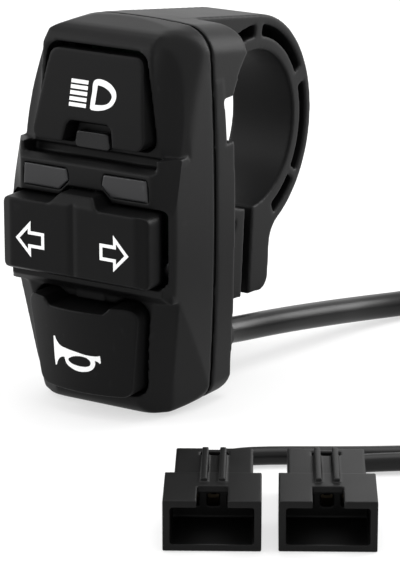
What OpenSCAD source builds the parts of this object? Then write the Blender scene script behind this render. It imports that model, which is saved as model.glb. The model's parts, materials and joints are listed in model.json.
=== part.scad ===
// Handlebar switch cluster: a headlamp button, a turn-signal rocker and a horn button in a
// moulded housing, with a pinch clamp for the handlebar and a lead that ends in two connectors.
// Millimetres. The origin is the centre of the clamp's bore, +X runs along the handlebar,
// the buttons face -Y and +Z is up.

/* [Bar clamp] */
// Diameter of the handlebar
bar_d = 22.2; // [20:0.1:32]
// Clearance all round the handlebar before the screw is tightened
bar_clear = 0.1; // [0.05:0.05:0.2]
// Width of the strap along the handlebar
strap_w = 10.3; // [8.6:0.1:14]
// Thickness of the strap
strap_t = 4.9; // [4.2:0.1:7]
// Width of the moulded pockets between the two skins of the strap
pocket_t = 1.6; // [1:0.1:2.2]
// Width of the slit between the two ears
slit_w = 1.8; // [1:0.1:3]
// Forward lean of the slit, in degrees
slit_lean = 4.5; // [0:0.5:10]
// Distance from the bore's centre to the end of the ears
ear_reach = 23.8; // [22.6:0.1:30]
// Thickness of the rear ear
ear_t = 5.3; // [4.8:0.1:8]

/* [Housing] */
// Greatest width of the housing
body_w = 26; // [24:0.5:34]
// Height of the housing
body_h = 52.7; // [50:0.1:60]
// Height of the housing's top over the bore's centre
head_rise = 19.7; // [18:0.1:24]
// Depth of the rear housing
rear_t = 5; // [4.5:0.1:8]
// Depth of the front cover's side walls
side_t = 9.6; // [9:0.1:12]
// Height of the headlamp section
upper_h = 17; // [16.5:0.1:20]
// Height of the middle band that carries the lenses and the rocker
band_h = 18.8; // [18.2:0.1:22]
// Wall thickness of the mouldings
wall = 1.8; // [1.4:0.1:2.2]
// Radius of the housing's upper right corner, seen from the front
corner_r = 4.5; // [3.5:0.1:6]
// Radius of the housing's upper left corner
shoulder_r = 9; // [6:0.1:10]
// Radius of the housing's two lower corners
foot_r = 3.3; // [3.2:0.1:5]

/* [Controls] */
// Travel of the two push buttons
press = 1.2; // [0.8:0.1:1.4]
// Swing of the rocker to each side, in degrees
rock_deg = 6; // [3:0.5:6]
// Gap between each button and its opening
button_gap = 0.45; // [0.35:0.05:0.7]
// How far the rocker stands out of the middle band
rocker_out = 3.3; // [2.5:0.1:5]
// Half width of the rocker
rocker_half = 11.6; // [9:0.1:11.7]
// Diameter of the rocker's pivot pin
pin_d = 2; // [1.5:0.1:2.4]
// Running clearance of moving pieces
run_gap = 0.3; // [0.25:0.05:0.4]

/* [Lead] */
// Diameter of the lead
cable_d = 3.7; // [3:0.1:4]
// Diameter of each connector's tail
tail_d = 2.4; // [2:0.1:2.6]
// Width of a connector's hood
plug_w = 11.8; // [10:0.1:14]
// Height of a connector
plug_h = 6.4; // [5.8:0.1:8]

/* [Hidden] */
$fn = 48;
fine = 360;

// Levels of the clamp and the housing
bore_r = bar_d / 2 + bar_clear;
strap_r = bore_r + strap_t;
y_back = -(strap_r + 1.1);
y_seam = y_back - rear_t;
y_edge = y_seam - side_t;
y_band = y_edge - 2.2;
y_up = y_edge + 0.8;
y_low = y_edge - 1;
y_wall = y_up + wall;
half = body_w / 2;
z_top = head_rise;
z_bot = z_top - body_h;
z_mid = (z_top + z_bot) / 2;
z_band = z_top - upper_h;
z_foot = z_band - band_h;
brow_fall = 8.5;

// Outline of the housing, seen from the front
side_r = 380;
crown_r = 100;
function crown_fall(x) = crown_r - sqrt(crown_r * crown_r - x * x);
function side_fall(z) = side_r - sqrt(side_r * side_r - (z - z_mid) * (z - z_mid));
function hub_hi(r) = let (z = z_top - crown_fall(half - r - 0.6) - r) [half - side_fall(z) - r, z];
function hub_lo(r) = let (z = z_bot + crown_fall(half - r - 0.6) + r) [half - side_fall(z) - r, z];

// Case screws and board
screw_x = half - 4.8;
screw_hi = z_top - 5.5;
screw_lo = z_foot + 2.4;
boss_r = 2.2;
boss_y = y_seam - 4.2;
case_d = 2.2;
board_t = 1.6;
board_y = y_seam - 0.2;
board_face = board_y - board_t;

// Headlamp button, in levels of the headlamp section
cap_hi = z_top - 3.6;
cap_lo = z_band + 1.4;
cap_face = y_up - 1.25;
lamp_z = z_band + 7.7;
flange_y = y_wall + 0.2;
flange_t = 0.8;
stem_y = flange_y + flange_t;
collar_t = 0.5;
switch_face = stem_y + collar_t + press + run_gap;
stem_r = 1.3;

// Turn rocker
rock_hi = z_band - 6.2;
rock_lo = rock_hi - 10.1;
rock_z = (rock_hi + rock_lo) / 2;
rock_face = y_band - rocker_out;
pivot_y = y_band + 3.4;
tongue_y = pivot_y + 4.7;
slide_r = 4;

// Horn button, in levels of the horn section
horn_hi = z_foot - 0.65;
horn_lo = z_bot + 3.4;
horn_z = (horn_hi + horn_lo) / 2;

// Clamp screw, in the leaning frame of the ears
bolt_z = -(bore_r + 6.8);
bolt_d = 3.9;
bolt_head_d = 7;
bolt_head_h = 2.5;
bolt_seat = slit_w / 2 + ear_t - 2.7;
nut_t = 3.2;
nut_af = 7;
nut_y = -slit_w / 2 - 1.3;

// Lead: the lead leaves the back of the housing low down, sinks to the surface that the switch
// stands on, and lies in a coil beside it
floor_z = z_bot;
lie_z = floor_z + cable_d / 2;
exit_x = half - 6.4;
exit_z = z_bot + 6.4;
relief_y = y_back + 7;
inner_y = y_back - wall - 0.6;
coil_c = [55, 16];
coil_z = lie_z + 0.6;
coil_in = 17.4;
coil_out = 22.2;
coil_from = 60;
coil_pitch = cable_d + 0.5;
coil_turn = 360;
coil_climb = 180;
coil_last = 240;
coil_step = 15;
lead_route = [[exit_x, inner_y, exit_z], [exit_x, y_back, exit_z], [exit_x, relief_y, exit_z - 0.1],
    [exit_x + 0.3, -6.4, exit_z - 0.6], [exit_x + 1.9, 2, exit_z - 1.4], [exit_x + 3.8, 12.6, exit_z - 2.7],
    [12.1, 21, exit_z - 3.8], [14.3, 27, lie_z], [18, 34, lie_z], [23.8, 40.6, lie_z],
    [31.5, 44.8, lie_z], [41, 45.6, lie_z + 0.1], [50.5, 43.2, lie_z + 0.3],
    [59.2, 39, coil_z], [62.6, 37.2, coil_z]];
end_route = [[77.2, 9, coil_z + 3.9], [77.2, 2, coil_z + 3], [76.9, -4, coil_z + 1.9], [75.4, -9.4,
    coil_z + 1],
    [73, -13.2, coil_z + 0.4], [70.2, -16, lie_z + 0.7]];
split_dir = [-0.857, -0.515];
split_in = [68.5, -17];
split_len = 10;
split_z = floor_z + 2.6;
split_out = split_in + split_len * split_dir;
tail_z = floor_z + tail_d / 2;
plug_turn = 31;
plug_back = [-sin(plug_turn), cos(plug_turn)];
plug_l = 20.5;
hood_l = 10;
plug_wall = 0.9;
tail_up = 1.9;
left_plug = [40.9, -67.8];
right_plug = [52.7, -60.6];
tail_bend = 4.8;
tail_side = [cos(plug_turn), sin(plug_turn)];

function at_z(p, z) = [p[0], p[1], z];
function unit(v) = v / norm(v);
function coil_angle(i) = coil_from - coil_step * i;
function coil_radius(t) = t <= coil_turn ? coil_out - (coil_out - coil_in) * t / coil_turn
    : t <= coil_turn + coil_climb ? coil_in
    : coil_in + (coil_out - coil_in) * (t - coil_turn - coil_climb) / coil_last;
function coil_level(t) = coil_z + coil_pitch * min(1, max(0, (t - coil_turn) / coil_climb));
function coil_point(a, t) = [coil_c[0] + coil_radius(t) * cos(a), coil_c[1] + coil_radius(t) * sin(a),
    coil_level(t)];
coil_total = coil_turn + coil_climb + coil_last;
coil_route = [for (t = [0:coil_step:coil_total - 1]) coil_point(coil_from - t, t),
    coil_point(coil_from - coil_total, coil_total)];
coil_start = coil_route[0];
coil_end = coil_route[len(coil_route) - 1];
function tail_route(plug, start, straight) = let (
        rear = plug + plug_l * plug_back,
        meet = rear + straight * plug_back,
        hub = meet + tail_bend * tail_side,
        bend = function (a) hub + tail_bend * [cos(a), sin(a)]
    ) [at_z(start, split_z), at_z(start + 3 * split_dir, split_z), at_z(start + 8.5 * split_dir,
        tail_z + 0.1),
        at_z(bend(90 + plug_turn), tail_z), at_z(bend(120 + plug_turn), tail_z),
        at_z(bend(150 + plug_turn), tail_z), at_z(meet, floor_z + tail_up),
        at_z(rear, floor_z + tail_up)];

// Working shapes
module along_y(y0, y1) {
    translate([0, y1, 0]) rotate([90, 0, 0]) linear_extrude(y1 - y0) children();
}

module along_x(x0, x1) {
    translate([x0, 0, 0]) rotate([90, 0, 90]) linear_extrude(x1 - x0) children();
}

module both_sides() {
    children();
    mirror([1, 0, 0]) children();
}

// Half space that lies beyond a point in a given direction
module beyond(p, n) {
    translate(p) rotate([0, acos(n[2] / norm(n)), atan2(n[1], n[0])])
        translate([-60, -60, 0]) cube([120, 120, 60]);
}

// Points of a rounded corner at p, between the directions of a and b
function corner_arc(a, p, b, r, grow) = let (
        u = unit(a - p),
        w = unit(b - p),
        turn = acos(u * w) / 2,
        c = p + unit(u + w) * r / sin(turn),
        out = atan2(p[1] - c[1], p[0] - c[0]),
        way = (p[0] - c[0]) * u[1] - (p[1] - c[1]) * u[0] > 0 ? 1 : -1
    ) [for (k = [3:-1:-3]) let (g = out + way * (90 - turn) * k / 3) c + (r + grow) * [cos(g), sin(g)]];

// What a rounded corner at p takes away
module corner(a, p, b, r) {
    polygon(concat(corner_arc(a, p, b, r, 0.03), [p - 0.6 * r * unit(unit(a - p) + unit(b - p))]));
}

// Polygon with rounded outer corners
module rounded(pts, r) {
    n = len(pts);
    polygon([for (i = [0:n - 1]) each corner_arc(pts[(i + n - 1) % n], pts[i], pts[(i + 1) % n], r, 0)]);
}

// Outline of the housing seen from the front: bowed sides, crowned ends and rounded corners
module outline(inset) {
    far = half + 3;
    hr = hub_hi(corner_r);
    hl = hub_hi(shoulder_r);
    hf = hub_lo(foot_r);
    rr = corner_r - inset + 0.04;
    rl = shoulder_r - inset + 0.04;
    rf = foot_r - inset + 0.04;
    ring = [[hr[0] - 2, z_top + 3], for (g = [90:-9:0]) [hr[0] + rr * cos(g), hr[1] + rr * sin(g)],
        [far, hr[1] - 3], [far, hf[1] + 3], for (g = [0:9:90]) [hf[0] + rf * cos(g), hf[1] - rf * sin(g)],
        [hf[0] - 2, z_bot - 3], [2 - hf[0], z_bot - 3],
        for (g = [90:-9:0]) [-hf[0] - rf * cos(g), hf[1] - rf * sin(g)], [-far, hf[1] + 3], [-far,
            hl[1] - 3],
        for (g = [0:9:90]) [-hl[0] - rl * cos(g), hl[1] + rl * sin(g)], [2 - hl[0], z_top + 3]];
    intersection() {
        translate([half - side_r, z_mid]) circle(side_r - inset, $fn = fine);
        translate([side_r - half, z_mid]) circle(side_r - inset, $fn = fine);
        translate([0, z_top - crown_r]) circle(crown_r - inset, $fn = fine);
        translate([0, z_bot + crown_r]) circle(crown_r - inset, $fn = fine);
        polygon(ring);
    }
}

module case_places() {
    for (x = [-screw_x, screw_x]) {
        translate([x, 0, screw_hi]) children();
        translate([x, 0, screw_lo]) children();
    }
}

module rod_y(y0, y1, r) {
    translate([0, y1, 0]) rotate([90, 0, 0]) cylinder(h = y1 - y0, r = r);
}

// Tube along a route, with square ends
module tube(route, d, sides, first, last) {
    n = len(route);
    way = [for (i = [0:n - 1]) unit(i == 0 ? first : i == n - 1 ? last : route[i + 1] - route[i - 1])];
    side = [for (t = way) unit(cross(t, [0, 0, 1]))];
    up = [for (i = [0:n - 1]) cross(side[i], way[i])];
    ring = [for (k = [0:sides - 1]) 360 * (k + 0.5) / sides];
    pts = [for (i = [0:n - 1]) for (a = ring) route[i] + d / 2 * (cos(a) * side[i] + sin(a) * up[i])];
    wall_faces = [for (i = [0:n - 2]) for (k = [0:sides - 1])
        [i * sides + k, i * sides + (k + 1) % sides, (i + 1) * sides + (k + 1) % sides,
            (i + 1) * sides + k]];
    polyhedron(points = pts, faces = concat([[for (k = [sides - 1:-1:0]) k]], wall_faces,
        [[for (k = [0:sides - 1]) (n - 1) * sides + k]]), convexity = 8);
}

// Headlamp button seen from the front
module cap_outline(g) {
    top = cap_hi + g + 0.67 * max(0, g);
    rounded([[-7.3 - g, top], [-9 - g, cap_lo - g], [9 + g, cap_lo - g], [7.3 + g, top]],
        max(1.3 + g, 0.5));
}

// Notch in the headlamp button, around its indicator
module cap_notch(g) {
    polygon([[-4.4 - g, cap_lo - 2], [-3.5 - g, cap_lo + 2.3], [-2.9 - g, cap_lo + 2.9 + g],
        [2.9 + g, cap_lo + 2.9 + g], [3.5 + g, cap_lo + 2.3], [4.4 + g, cap_lo - 2]]);
}

// Rocker seen from the front, with the tab between the two lenses
module rocker_outline(gx, gz) {
    wide = rocker_half + gx;
    union() {
        rounded([[-wide, rock_lo - gz], [wide, rock_lo - gz], [wide, rock_hi + gz], [-wide,
            rock_hi + gz]], 1.2);
        polygon([[-3.8 - gz, rock_hi], [3.8 + gz, rock_hi], [3.8 + gz, rock_hi + gz],
            [2.6 + gz, rock_hi + 1.4 + gz], [-2.6 - gz, rock_hi + 1.4 + gz], [-3.8 - gz, rock_hi + gz]]);
    }
}

// Horn button seen from the front, with the finger notch in its upper edge
module horn_outline(g) {
    difference() {
        rounded([[-8.9 - g, horn_hi + g], [-7.3 - g, horn_lo - g], [7.3 + g, horn_lo - g],
            [8.9 + g, horn_hi + g]], max(1.6 + g, 0.5));
        polygon([[-5.4 + g, horn_hi + 3], [-5.4 + g, horn_hi + 0.2], [-4.3 + g, horn_hi - 0.95 + g],
            [4.3 - g, horn_hi - 0.95 + g], [5.4 - g, horn_hi + 0.2], [5.4 - g, horn_hi + 3]]);
    }
}

// Right-hand turn lens seen from the front
module lens_outline(g) {
    polygon([[9.7 + g, z_band - 2.05 + g], [2.95 - g, z_band - 2.1 + g], [2.65 - g, z_band - 3.6],
        [4.15 - g, z_band - 5.05 - g], [9.9 + g, z_band - 4.95 - g]]);
}

// Front cover
module cover_body() {
    brow = corner_arc([y_seam, z_top], [y_up, z_top - 0.9], [y_up, z_band], 3.4, 0);
    chin = corner_arc([y_low, z_foot], [y_low + 1.1, z_bot - 0.05], [y_seam, z_bot - 0.05], 3, 0);
    difference() {
        union() {
            // headlamp section, with a rounded brow
            intersection() {
                along_y(y_up, y_seam) outline(0);
                along_x(-half - 1, half + 1) polygon(concat([[y_seam, z_band - 1], [y_seam,
                    z_top + 0.2]], brow,
                    [[y_up, z_band + 0.3], [y_up + 1, z_band + 0.3], [y_up + 1, z_band - 1]]));
            }
            // middle band, under a groove
            intersection() {
                along_y(y_band, y_seam) outline(0);
                along_x(-half - 1, half + 1) polygon([[y_seam, z_band], [y_up + 1.1, z_band],
                    [y_up + 0.8, z_band - 0.8],
                    [y_band + 1.2, z_band - 0.8], [y_band, z_band - 1.4], [y_band, z_foot + 1.1],
                        [y_low, z_foot],
                    [y_seam, z_foot]]);
                translate([0, 0, z_bot]) linear_extrude(body_h) polygon([[-half - 1, y_seam],
                    [-half - 1, y_edge],
                    [-half - 0.05, y_edge], [-half + 1, y_band], [half - 1, y_band], [half + 0.05, y_edge],
                    [half + 1, y_edge], [half + 1, y_seam]]);
            }
            // horn section, with a rounded chin
            intersection() {
                along_y(y_low, y_seam) outline(0);
                along_x(-half - 1, half + 1) polygon(concat([[y_seam, z_foot + 1], [y_low, z_foot + 1],
                    [y_low, z_foot - 0.4]], chin, [[y_seam, z_bot - 0.3]]));
            }
        }
        both_sides() {
            // hollow cheeks beside the headlamp button
            intersection() {
                translate([half - 0.3, y_up - 2.95, z_band + 1.5]) rotate([-12.4, 0, 0])
                    translate([0, 0, -8]) cylinder(h = upper_h + 12, r = 4);
                translate([0, y_up - 9, z_band]) cube([half + 6, 16, upper_h + 4]);
            }
            // shoulders that narrow toward the front
            difference() {
                translate([5, y_up - 2, z_band]) cube([half, y_seam - y_up + 2.5, upper_h + 2]);
                translate([half - 39.2, y_up - 9, z_band - 10.05]) rotate([0, 66.7, 73.3])
                    cylinder(h = 40, r = 34, $fn = fine);
            }
            // bevels and tapered flanks beside the horn button
            difference() {
                union() {
                    beyond([half - 0.8, y_edge + 0.6, z_foot - 1.9], [0.488, -0.855, -0.172]);
                    beyond([half - 0.55, y_edge + 0.3, z_foot - 1.9], [0.957, -0.23, -0.178]);
                }
                translate([-60, y_edge - 60, z_foot]) cube([120, 120, 120]);
            }
        }
    }
}

module cover_cavity() {
    along_y(board_face - 1.8, y_seam + 1) outline(wall);
    along_y(y_wall, board_face - 1.7) polygon([[-10.2, z_band + 0.8], [-10.2, z_band + 2], [-9.15,
        z_top - 7.1],
        [-7.4, z_top - 2.9], [7.4, z_top - 2.9], [9.15, z_top - 7.1], [10.2, z_band + 2],
        [10.2, z_band + 0.8]]);
    along_y(y_band + wall, board_face - 1.7)
        translate([-half + 1.3, z_foot + 0.6]) square([body_w - 2.6, band_h - 1.4]);
    along_y(y_wall, board_face - 1.7) polygon([[-10.2, z_foot - 0.6], [10.2, z_foot - 0.6], [9.4,
        z_bot + 7],
        [7.3, z_bot + 2.7], [-7.3, z_bot + 2.7], [-9.4, z_bot + 7]]);
}

module front_cover() {
    color([0.07, 0.07, 0.075]) difference() {
        union() {
            difference() {
                cover_body();
                cover_cavity();
            }
            // bosses for the case screws
            intersection() {
                case_places() rod_y(boss_y, y_seam, boss_r);
                along_y(boss_y, y_seam) outline(0.6);
            }
            // lugs for the rocker's pin
            translate([-2.2, y_band + 1, rock_hi + 2.1]) cube([4.4, pivot_y - y_band + 0.9, 2.5]);
            translate([-2.2, y_band + 1, rock_lo - 3.6]) cube([4.4, pivot_y - y_band + 0.9, 2.9]);
            // ribs that the board rests on
            both_sides() for (z = [z_band - 1.9, z_bot + 8])
                translate([half - 3.6, board_face - 2.4, z]) cube([2, 2.4, 1.4]);
        }
        case_places() rod_y(boss_y - 0.1, y_seam + 0.1, case_d / 2);
        along_y(y_up - 4, y_wall + 0.1) difference() {
            cap_outline(button_gap);
            cap_notch(-button_gap);
        }
        along_y(y_band - 1, y_band + wall + 0.1) rocker_outline(button_gap + 0.25, button_gap - 0.1);
        along_y(y_low - 5, y_wall + 0.1) horn_outline(button_gap);
        both_sides() along_y(y_band - 1, y_band + wall + 0.1) lens_outline(0.05);
        translate([-1.3, y_up - 1, cap_lo - 0.5]) cube([2.6, wall + 2, 1.6]);
        translate([0, pivot_y, rock_lo - 2.9]) cylinder(h = rock_hi - rock_lo + 7, d = pin_d);
    }
}

// Rear housing with the clamp, one moulding
module ear_frame() {
    rotate([-slit_lean, 0, 0]) children();
}

module clamp_profile() {
    foot = -ear_reach;
    ear_out = slit_w / 2 + ear_t;
    fillet = 4;
    hub = [ear_out + fillet, -sqrt(pow(strap_r + fillet, 2) - pow(ear_out + fillet, 2))];
    difference() {
        union() {
            circle(strap_r);
            // upper web, level with the top of the strap
            polygon([[0, 0], [0.137 * strap_r, 0.99 * strap_r], [y_back - 0.8, z_top - 0.75],
                [y_back - 0.8, 0]]);
            // web and ear that stay on the housing
            polygon([[0, 0], [y_back - 0.8, 0], [y_back - 0.8, foot + 1.4],
                [-slit_w / 2 - ear_reach * sin(slit_lean), foot]]);
            rotate(-slit_lean) {
                translate([-ear_t, foot]) square([ear_t, ear_reach]);
                // rear ear
                difference() {
                    translate([0, foot]) square([ear_out, ear_reach]);
                    corner([0, foot], [ear_out, foot], [ear_out, 0], 2.2);
                }
                difference() {
                    polygon([[ear_out - 1, hub[1] + 4], hub * strap_r / (strap_r + fillet), hub,
                        [ear_out, hub[1]],
                        [ear_out - 1, hub[1]]]);
                    translate(hub) circle(fillet);
                }
            }
        }
        circle(bore_r);
        rotate(-slit_lean) translate([-slit_w / 2, -ear_reach - 2]) square([slit_w, ear_reach + 2]);
    }
}

module pocket_arc(a0, a1) {
    r0 = bore_r + (strap_t - pocket_t) / 2 + 0.25;
    reach = 2 * strap_r;
    intersection() {
        difference() {
            circle(r0 + pocket_t);
            circle(r0);
        }
        polygon([[0, 0], [reach * cos(a0), reach * sin(a0)],
            [reach * cos((a0 + a1) / 2), reach * sin((a0 + a1) / 2)], [reach * cos(a1), reach * sin(a1)]]);
    }
}

module clamp_pockets() {
    pocket_arc(87, 118);
    pocket_arc(27, 79);
    pocket_arc(-35, 17);
    pocket_arc(-66, -41);
    pocket_arc(-140, -109);
    // cores that keep the webs thin
    polygon([[y_back + 1.2, z_top - 4.4], [-9.6, z_top - 5.5], [-13.4, z_top - 10.6], [y_back + 1.2,
        z_top - 10.6]]);
    rotate(-slit_lean) translate([-13.4, bolt_z - 3.6]) square([5.4, 7.6]);
}

module rear_shell() {
    lip = y_back + 4;
    intersection() {
        along_y(y_seam, y_back) outline(0);
        along_x(-half - 1, half + 1) {
            // back plate, with a rounded lower edge
            difference() {
                translate([y_seam, z_bot - 1]) square([rear_t, z_band - z_bot + 1.3]);
                corner([y_seam, z_bot + 0.2], [y_back, z_bot + 0.2], [y_back, z_band], 3);
                translate([y_back - 1, z_bot - 2]) square([2, 2.2]);
            }
            // relief across the back
            translate([y_seam, z_band]) square([rear_t - 2.4, upper_h - 8]);
        }
    }
    // brow that falls toward the strap
    intersection() {
        translate([0, y_seam, z_top]) rotate([-brow_fall, 0, 0]) translate([0, -y_seam, -z_top])
            along_y(y_seam - 3, lip + 3) outline(0.05);
        along_x(-half - 1, half + 1) difference() {
            translate([y_seam, z_top - 10.7]) square([lip - y_seam, 12]);
            circle(strap_r + 3.2);
            corner([y_seam, z_top - 0.9], [lip, z_top - 1.4], [lip, z_top - 10.7], 3);
            translate([lip - 0.5, z_top - 1.42]) square([2, 3]);
        }
    }
}

module rear_housing() {
    room_y = y_back - wall;
    color([0.075, 0.075, 0.08]) difference() {
        union() {
            difference() {
                rear_shell();
                // rooms for the wires and the board's solder side
                along_y(y_seam - 1, room_y) intersection() {
                    outline(wall + 0.6);
                    union() {
                        translate([-half, z_bot]) square([body_w, z_band - z_bot - 1.6]);
                        translate([-half, z_top - 9.4]) square([body_w, 9]);
                    }
                }
            }
            difference() {
                along_x(-strap_w / 2, strap_w / 2) clamp_profile();
                along_y(y_seam - 1, room_y) outline(0);
                along_x(strap_w / 2 - 4, strap_w / 2 + 1) clamp_pockets();
                along_x(-strap_w / 2 - 1, -strap_w / 2 + 4) clamp_pockets();
                translate([exit_x, 0, exit_z]) rod_y(y_back, relief_y + 1, 3.7);
            }
            // posts that hold the board and sleeves for the case screws
            for (x = [-4.2, 4.2]) for (z = [z_top - 7.2, z_mid + 2.5])
                translate([x, 0, z]) rod_y(board_y, room_y + 0.3, 1.2);
            case_places() rod_y(y_seam, room_y + 0.3, 2.6);
        }
        along_y(y_seam - 0.1, y_seam + 0.8) difference() {
            outline(0.4);
            outline(1.4);
        }
        case_places() {
            rod_y(y_seam - 1, y_back + 6, case_d / 2 + 0.1);
            rod_y(y_seam + 2, y_back + 6, 2.3);
        }
        translate([exit_x, 0, exit_z]) rod_y(room_y - 1, y_back + 1, 2.6);
        ear_frame() {
            translate([0, 0, bolt_z]) {
                rod_y(nut_y - nut_t - 2, bolt_seat + 1, bolt_d / 2 + 0.2);
                rod_y(bolt_seat, bolt_seat + 9, bolt_head_d / 2 + 0.3);
                translate([-strap_w, nut_y - nut_t - 0.1, -nut_af / 2 - 0.1])
                    cube([strap_w + nut_af / 2 + 0.6, nut_t + 0.1, nut_af + 0.2]);
            }
        }
    }
}

module cover_gasket() {
    color([0.03, 0.03, 0.03]) along_y(y_seam, y_seam + 0.8) difference() {
        outline(0.5);
        outline(1.3);
    }
}

module circuit_board() {
    room = boss_r + 0.5;
    color([0.05, 0.28, 0.12]) difference() {
        along_y(board_face, board_y) outline(wall + 0.6);
        both_sides() translate([screw_x - room, board_face - 1, 0]) {
            translate([0, 0, screw_hi - room]) cube([half, 5, 20]);
            translate([0, 0, screw_lo - room]) cube([half, 5, 2 * room]);
        }
    }
}

// Lenses and lamps
module headlight_lens() {
    color([0.3, 0.3, 0.32]) union() {
        along_y(y_up - 1.3, y_up)
            rounded([[-2.8, cap_lo - 0.8], [2.8, cap_lo - 0.8], [2.6, cap_lo + 1.5], [-2.6,
                cap_lo + 1.5]], 0.5);
        translate([-1.2, y_up - 0.5, cap_lo - 0.4]) cube([2.4, board_face - y_up - 1.3, 1.4]);
    }
}

module turn_lens() {
    along_y(y_band - 0.15, y_band + wall) lens_outline(0);
    along_y(y_band + wall, y_band + wall + 0.8) polygon([[10.6, z_band - 1.4], [3.3, z_band - 1.4],
        [3.1, z_band - 3.6], [4.6, z_band - 4.95], [10.7, z_band - 4.9]]);
}

module left_turn_lens() {
    color([0.3, 0.3, 0.32]) mirror([1, 0, 0]) turn_lens();
}

module right_turn_lens() {
    color([0.3, 0.3, 0.32]) turn_lens();
}

module indicator_leds() {
    color([0.85, 0.85, 0.8]) {
        both_sides() translate([6.6, 0, z_band - 3.4]) {
            rod_y(board_face - 4, board_face, 1.5);
            translate([0, board_face - 4, 0]) sphere(1.5);
        }
        translate([-1.6, board_face - 0.8, cap_lo - 0.5]) cube([3.2, 0.8, 1.6]);
    }
}

// Switches on the board
module push_switch(z) {
    difference() {
        translate([-3, switch_face, z - 3]) cube([6, board_face - switch_face, 6]);
        translate([0, 0, z]) rod_y(switch_face - 1, board_face - 0.2, stem_r + run_gap);
    }
}

module push_stem(z) {
    translate([0, 0, z]) union() {
        rod_y(stem_y, stem_y + collar_t, stem_r + 0.5);
        rod_y(stem_y, board_face - press - 0.4, stem_r);
    }
}

module headlight_switch() {
    color([0.15, 0.15, 0.16]) push_switch(lamp_z);
}

module headlight_stem() {
    color([0.85, 0.84, 0.8]) push_stem(lamp_z);
}

module horn_switch() {
    color([0.15, 0.15, 0.16]) push_switch(horn_z);
}

module horn_stem() {
    color([0.85, 0.84, 0.8]) push_stem(horn_z);
}

module turn_switch() {
    color([0.15, 0.15, 0.16]) difference() {
        translate([-5.5, board_face - 2, rock_z - 3.3]) cube([11, 2, 6.6]);
        translate([-2.9, board_face - 3, rock_z - 1.7]) cube([5.8, 2.7, 3.4]);
    }
}

module turn_slider() {
    color([0.85, 0.84, 0.8]) difference() {
        translate([-1.9, board_face - 3.9, rock_z - 1.4]) cube([3.8, 3.3, 2.8]);
        translate([-0.8 - run_gap, board_face - 5, rock_z - 2]) cube([1.6 + 2 * run_gap, 3.6, 4]);
    }
}

// Buttons
module headlight_button() {
    color([0.05, 0.05, 0.055]) difference() {
        union() {
            intersection() {
                along_y(cap_face - 1, flange_y) difference() {
                    cap_outline(0);
                    cap_notch(0);
                }
                along_x(-half, half) intersection() {
                    translate([cap_face + 150, cap_lo + 5]) circle(150, $fn = fine);
                    translate([cap_face - 2, cap_lo - 2]) square([20, cap_hi - cap_lo + 4]);
                }
            }
            // flange that keeps the button in the cover
            along_y(flange_y, flange_y + flange_t) polygon([[-9.65, lamp_z - 4.4], [9.65, lamp_z - 4.4],
                [8.8, lamp_z + 1.8], [-8.8, lamp_z + 1.8]]);
        }
        along_y(y_up + 0.4, stem_y + 1) difference() {
            cap_outline(-1.7);
            cap_notch(1.7);
            translate([0, lamp_z]) circle(2.4);
        }
    }
}

module horn_button() {
    color([0.05, 0.05, 0.055]) difference() {
        union() {
            intersection() {
                along_y(y_low - 5, flange_y) horn_outline(0);
                // rounded face that leans forward at the top
                translate([0, y_low + 14, horn_z - 0.8]) rotate([6.7, 0, 0]) translate([0, 0, -22])
                    cylinder(h = 44, r = 17.5, $fn = fine);
            }
            translate([-9.4, flange_y, horn_z - 2.2]) cube([18.8, flange_t, 6.2]);
        }
        along_y(y_low - 0.6, stem_y + 1) difference() {
            horn_outline(-1.8);
            translate([0, horn_z]) circle(2.4);
        }
    }
}

module turn_rocker() {
    skirt = y_band + 1.6;
    narrow = rocker_half - 0.4;
    color([0.05, 0.05, 0.055]) difference() {
        union() {
            difference() {
                intersection() {
                    along_y(rock_face - 1, skirt) rocker_outline(0.05, 0);
                    translate([0, 0, z_bot]) linear_extrude(body_h) polygon([[-narrow, skirt],
                        [-narrow, y_band + 0.6], [-rocker_half, y_band + 0.6], [-rocker_half,
                            rock_face + 0.8],
                        [-rocker_half + 1.7, rock_face], [-0.7, rock_face + 0.1], [0, rock_face + 0.35],
                        [0.7, rock_face + 0.1], [rocker_half - 1.7, rock_face], [rocker_half,
                            rock_face + 0.8],
                        [rocker_half, y_band + 0.6], [narrow, y_band + 0.6], [narrow, skirt]]);
                    along_x(-half, half) polygon([[skirt, rock_lo], [rock_face + 1.2, rock_lo],
                        [rock_face - 0.3, rock_lo + 0.8],
                        [rock_face - 0.1, rock_hi - 0.2], [rock_face + 1.2, rock_hi + 1.4], [skirt,
                            rock_hi + 1.4]]);
                }
                translate([-rocker_half + 1.6, rock_face + 2, rock_lo + 1.5])
                    cube([2 * rocker_half - 3.2, 20, rock_hi - rock_lo - 3]);
            }
            // hub, rib and tongue
            translate([0, pivot_y, rock_lo + 0.2]) cylinder(h = rock_hi - rock_lo - 0.4,
                r = pin_d / 2 + run_gap + 1.1);
            translate([-1.2, rock_face + 1, rock_lo + 0.2]) cube([2.4, pivot_y - rock_face - 1,
                rock_hi - rock_lo - 0.4]);
            translate([-0.8, pivot_y, rock_z - 1.5]) cube([1.6, tongue_y - pivot_y, 3]);
        }
        translate([0, pivot_y, rock_lo - 1]) cylinder(h = rock_hi - rock_lo + 2, r = pin_d / 2 + run_gap);
    }
}

module rocker_pin() {
    color([0.7, 0.7, 0.72]) translate([0, pivot_y, rock_lo - 2.9]) cylinder(h = rock_hi - rock_lo + 7,
        d = pin_d);
}

// Fasteners
module case_screws() {
    color([0.55, 0.55, 0.57]) case_places() difference() {
        union() {
            rod_y(boss_y + 0.6, y_seam + 2, case_d / 2);
            rod_y(y_seam + 2, y_seam + 3.5, 2);
        }
        translate([-1.2, y_seam + 2.8, -0.25]) cube([2.4, 1, 0.5]);
        translate([-0.25, y_seam + 2.8, -1.2]) cube([0.5, 1, 2.4]);
    }
}

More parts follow.
